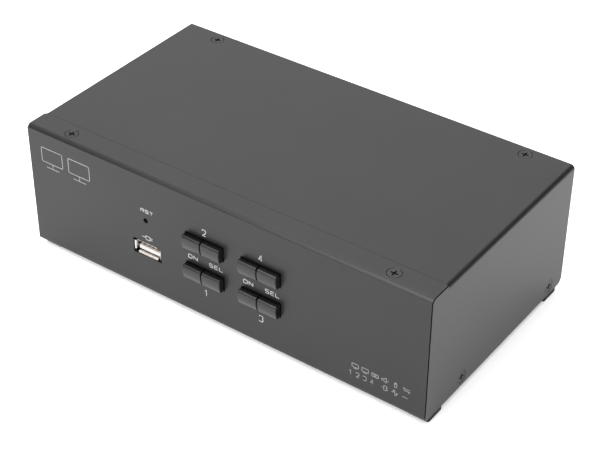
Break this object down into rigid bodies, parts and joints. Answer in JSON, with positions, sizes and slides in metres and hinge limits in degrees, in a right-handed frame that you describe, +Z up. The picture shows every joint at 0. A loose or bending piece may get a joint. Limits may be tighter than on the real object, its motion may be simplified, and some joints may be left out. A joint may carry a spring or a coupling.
{
  "type": "kvm switch",
  "caption": "Desktop keyboard, video and mouse switch in a folded steel case with pairs of push keys, a front data socket, rows of rear sockets and rubber feet.",
  "frame": {"origin": "under the middle of the whole object, at the soles of the feet", "axes": "+X along the front panel to the right as seen from the front, +Y from the front panel to the back, +Z up"},
  "size_m": [0.2, 0.1144, 0.0625],
  "materials": {
    "case_paint": "dark grey satin powder coat with a very fine grain",
    "key_plastic": "black satin-gloss moulded plastic",
    "black_screw": "black plated steel",
    "rubber": "matte black rubber",
    "nickel": "bright nickel plate on stamped steel",
    "zinc": "bright zinc plated steel",
    "gold": "gold plated contact metal",
    "white_plastic": "off-white moulded plastic",
    "black_plastic": "black moulded plastic",
    "circuit_board": "green solder mask on glass-fibre laminate",
    "aluminium": "plain aluminium",
    "thermal_pad": "soft grey-blue silicone",
    "ribbon": "grey flat cable",
    "lamp": "clear diode casting"
  },
  "bodies": {
    "case": {"base_tray": "case_paint", "top_cover": "case_paint", "top_screws": "black_screw", "side_screws": "black_screw", "clinch_nuts": "zinc", "foot_front_left": "rubber", "foot_front_right": "rubber", "foot_rear_left": "rubber", "foot_rear_right": "rubber", "front_board": "circuit_board", "front_standoffs": "zinc", "front_usb_shell": "nickel", "front_usb_tongue": "white_plastic", "front_usb_contacts": "gold", "reset_switch": "black_plastic", "key_switch_on_1": "black_plastic", "key_switch_sel_1": "black_plastic", "key_switch_on_2": "black_plastic", "key_switch_sel_2": "black_plastic", "key_switch_on_3": "black_plastic", "key_switch_sel_3": "black_plastic", "key_switch_on_4": "black_plastic", "key_switch_sel_4": "black_plastic", "snap_domes": "zinc", "key_lamps": "lamp", "main_board": "circuit_board", "lower_standoffs": "zinc", "board_screws": "zinc", "upper_board": "circuit_board", "upper_standoffs": "zinc", "header_base": "black_plastic", "header_pins": "gold", "header_socket": "black_plastic", "ribbon_cable": "ribbon", "ribbon_plugs": "white_plastic", "video_chips": "black_plastic", "thermal_pads": "thermal_pad", "heatsinks": "aluminium", "hub_chip": "black_plastic", "capacitors": "aluminium", "inductors": "black_plastic", "dc_jack": "black_plastic", "dc_jack_pin": "nickel", "video_shells": "nickel", "video_tongues": "black_plastic", "usb_b_shells": "nickel", "usb_b_cores": "white_plastic", "rear_usb_shells": "nickel", "rear_usb_tongues": "white_plastic", "audio_jacks": "black_plastic", "audio_nuts": "nickel"},
    "key_on_1": {"key_on_1": "key_plastic"},
    "key_sel_1": {"key_sel_1": "key_plastic"},
    "key_on_2": {"key_on_2": "key_plastic"},
    "key_sel_2": {"key_sel_2": "key_plastic"},
    "key_on_3": {"key_on_3": "key_plastic"},
    "key_sel_3": {"key_sel_3": "key_plastic"},
    "key_on_4": {"key_on_4": "key_plastic"},
    "key_sel_4": {"key_sel_4": "key_plastic"},
    "reset_plunger": {"reset_plunger": "black_plastic"}
  },
  "joints": [
    {"name": "press_on_1", "type": "slide", "parent": "case", "child": "key_on_1", "axis": [0, 1, 0], "range_m": [0, 0.0008], "stiffness_N_per_m": 1200},
    {"name": "press_sel_1", "type": "slide", "parent": "case", "child": "key_sel_1", "axis": [0, 1, 0], "range_m": [0, 0.0008], "stiffness_N_per_m": 1200},
    {"name": "press_on_2", "type": "slide", "parent": "case", "child": "key_on_2", "axis": [0, 1, 0], "range_m": [0, 0.0008], "stiffness_N_per_m": 1200},
    {"name": "press_sel_2", "type": "slide", "parent": "case", "child": "key_sel_2", "axis": [0, 1, 0], "range_m": [0, 0.0008], "stiffness_N_per_m": 1200},
    {"name": "press_on_3", "type": "slide", "parent": "case", "child": "key_on_3", "axis": [0, 1, 0], "range_m": [0, 0.0008], "stiffness_N_per_m": 1200},
    {"name": "press_sel_3", "type": "slide", "parent": "case", "child": "key_sel_3", "axis": [0, 1, 0], "range_m": [0, 0.0008], "stiffness_N_per_m": 1200},
    {"name": "press_on_4", "type": "slide", "parent": "case", "child": "key_on_4", "axis": [0, 1, 0], "range_m": [0, 0.0008], "stiffness_N_per_m": 1200},
    {"name": "press_sel_4", "type": "slide", "parent": "case", "child": "key_sel_4", "axis": [0, 1, 0], "range_m": [0, 0.0008], "stiffness_N_per_m": 1200},
    {"name": "press_reset", "type": "slide", "parent": "case", "child": "reset_plunger", "axis": [0, 1, 0], "range_m": [0, 0.0004], "stiffness_N_per_m": 3500}
  ]
}
